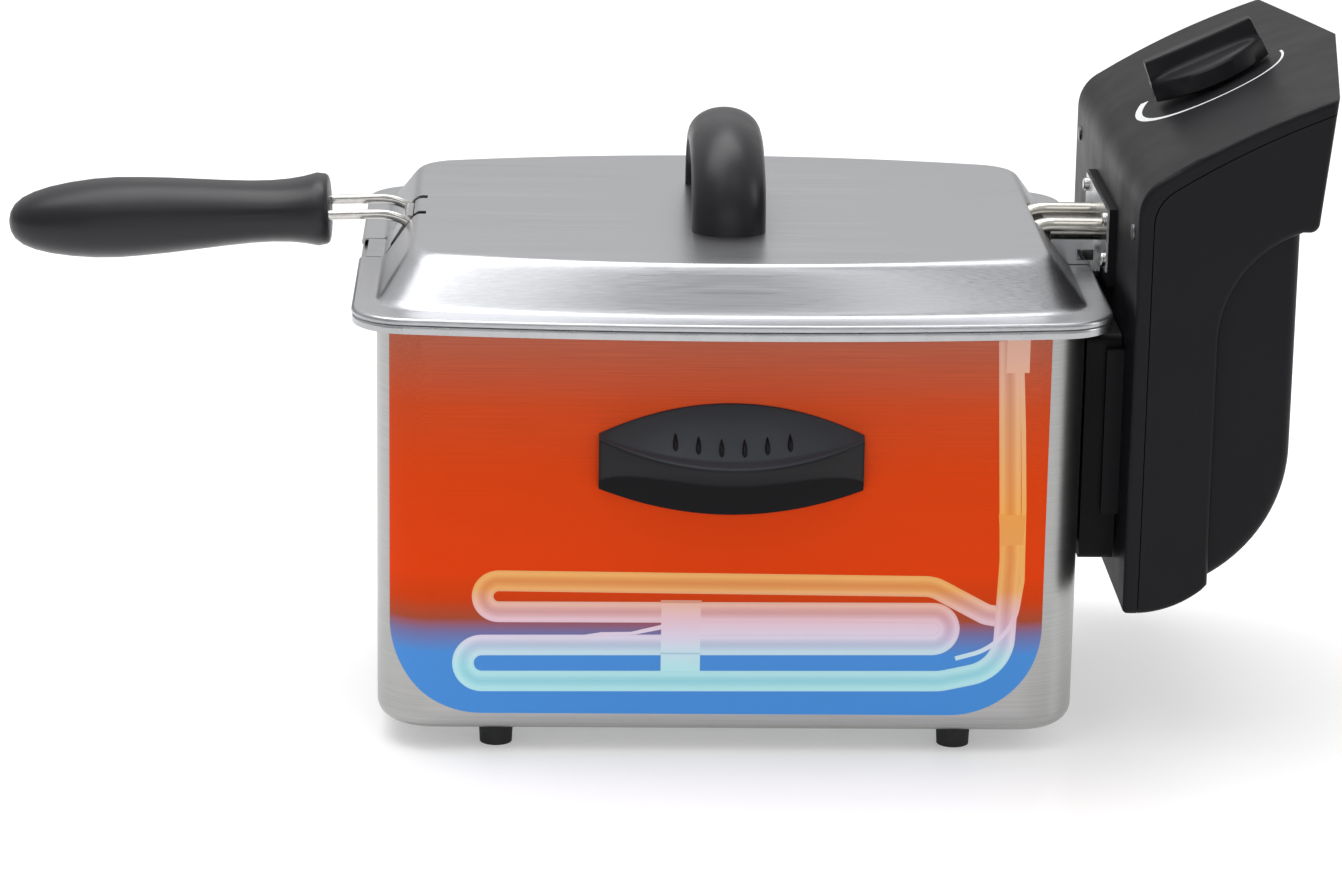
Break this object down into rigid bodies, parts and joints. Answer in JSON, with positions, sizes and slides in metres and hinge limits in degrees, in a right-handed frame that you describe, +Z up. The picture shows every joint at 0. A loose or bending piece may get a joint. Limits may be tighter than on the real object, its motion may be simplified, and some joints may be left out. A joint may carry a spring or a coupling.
{
  "type": "deep fryer",
  "caption": "Rectangular steel deep fryer with lift-out oil tank, plug-in control head and heater, lift-out mesh basket with folding handle, and loose domed lid.",
  "frame": {"origin": "on the table, at the middle of the whole part's length and width", "axes": "+Z up; the basket handle points to -X and the control head stands at +X; the printed long side faces -Y"},
  "size_m": [0.5611, 0.2706, 0.2929],
  "materials": {
    "housing_shell": "brushed, fine horizontal grain",
    "base_plate": "plain galvanised sheet",
    "rubber_feet": "matt",
    "foot_screws": "zinc plated",
    "side_handle_near": "fine grain",
    "side_handle_far": "fine grain",
    "side_handle_screws": "zinc plated",
    "front_graphic_film": "printed film",
    "guide_rail": "fine grain",
    "guide_rail_screws": "zinc plated",
    "oil_tank": "satin inside, polished rim",
    "heating_element": "satin tube",
    "element_clips": "satin strip",
    "riser_clamps": "satin strip",
    "thermostat_bulb": "nickel-plated copper",
    "limiter_bulb": "nickel-plated copper",
    "element_bracket": "satin sheet",
    "element_flange": "satin sheet",
    "flange_pad": "smooth",
    "flange_screws": "bright",
    "control_front_shell": "fine grain, satin",
    "control_rear_shell": "fine grain, satin",
    "cord_store": "fine grain, satin",
    "cord_gland": "matt",
    "shell_screws": "dark zinc",
    "thermostat_body": "fired, unglazed",
    "thermostat_shaft": "turned",
    "thermostat_knob": "satin",
    "thermal_cutout": "fired, unglazed",
    "reset_button": "smooth",
    "terminal_block": "fired, unglazed",
    "safety_switch": "smooth",
    "switch_plunger": "smooth",
    "basket_mesh": "plated wire mesh",
    "basket_rim": "plated wire",
    "basket_bracket": "satin sheet",
    "handle_wires": "plated wire",
    "handle_grip": "satin",
    "lid_shell": "brushed, fine grain along the length",
    "lid_handle": "satin",
    "lid_handle_screws": "zinc plated"
  },
  "bodies": {
    "housing": {"housing_shell": "housing_shell", "base_plate": "base_plate", "rubber_feet": "rubber_feet", "foot_screws": "foot_screws", "side_handle_near": "side_handle_near", "side_handle_far": "side_handle_far", "side_handle_screws": "side_handle_screws", "front_graphic_film": "front_graphic_film", "guide_rail": "guide_rail", "guide_rail_screws": "guide_rail_screws"},
    "tank": {"oil_tank": "oil_tank"},
    "control_head": {"heating_element": "heating_element", "element_clips": "element_clips", "riser_clamps": "riser_clamps", "thermostat_bulb": "thermostat_bulb", "limiter_bulb": "limiter_bulb", "element_bracket": "element_bracket", "element_flange": "element_flange", "flange_pad": "flange_pad", "flange_screws": "flange_screws", "control_front_shell": "control_front_shell", "control_rear_shell": "control_rear_shell", "cord_store": "cord_store", "cord_gland": "cord_gland", "shell_screws": "shell_screws", "thermostat_body": "thermostat_body", "thermal_cutout": "thermal_cutout", "terminal_block": "terminal_block", "safety_switch": "safety_switch"},
    "knob": {"thermostat_knob": "thermostat_knob", "thermostat_shaft": "thermostat_shaft"},
    "reset": {"reset_button": "reset_button"},
    "plunger": {"switch_plunger": "switch_plunger"},
    "basket": {"basket_mesh": "basket_mesh", "basket_rim": "basket_rim", "basket_bracket": "basket_bracket"},
    "basket_handle": {"handle_wires": "handle_wires", "handle_grip": "handle_grip"},
    "lid": {"lid_shell": "lid_shell", "lid_handle": "lid_handle", "lid_handle_screws": "lid_handle_screws"}
  },
  "joints": [
    {"name": "tank_lift", "type": "slide", "parent": "housing", "child": "tank", "axis": [0, 0, 1], "range_m": [0, 0.18]},
    {"name": "control_head_lift", "type": "slide", "parent": "tank", "child": "control_head", "axis": [0, 0, 1], "range_m": [0, 0.2]},
    {"name": "basket_lift", "type": "slide", "parent": "control_head", "child": "basket", "axis": [0, 0, 1], "range_m": [0, 0.16]},
    {"name": "lid_lift", "type": "slide", "parent": "basket", "child": "lid", "axis": [0, 0, 1], "range_m": [0, 0.2]},
    {"name": "basket_handle_fold", "type": "hinge", "parent": "basket", "child": "basket_handle", "pos_m": [-0.10815, 0, 0.2018], "axis": [0, 1, 0], "range_deg": [0, 80]},
    {"name": "thermostat_turn", "type": "hinge", "parent": "control_head", "child": "knob", "pos_m": [0.23135, 0, 0.2642], "axis": [-0.4147, 0, 0.91], "range_deg": [-220, 0]},
    {"name": "reset_press", "type": "slide", "parent": "control_head", "child": "reset", "axis": [-1, 0, 0], "range_m": [0, 0.0015], "stiffness_N_per_m": 2000},
    {"name": "plunger_press", "type": "slide", "parent": "control_head", "child": "plunger", "axis": [1, 0, 0], "range_m": [0, 0.0012], "stiffness_N_per_m": 800}
  ]
}
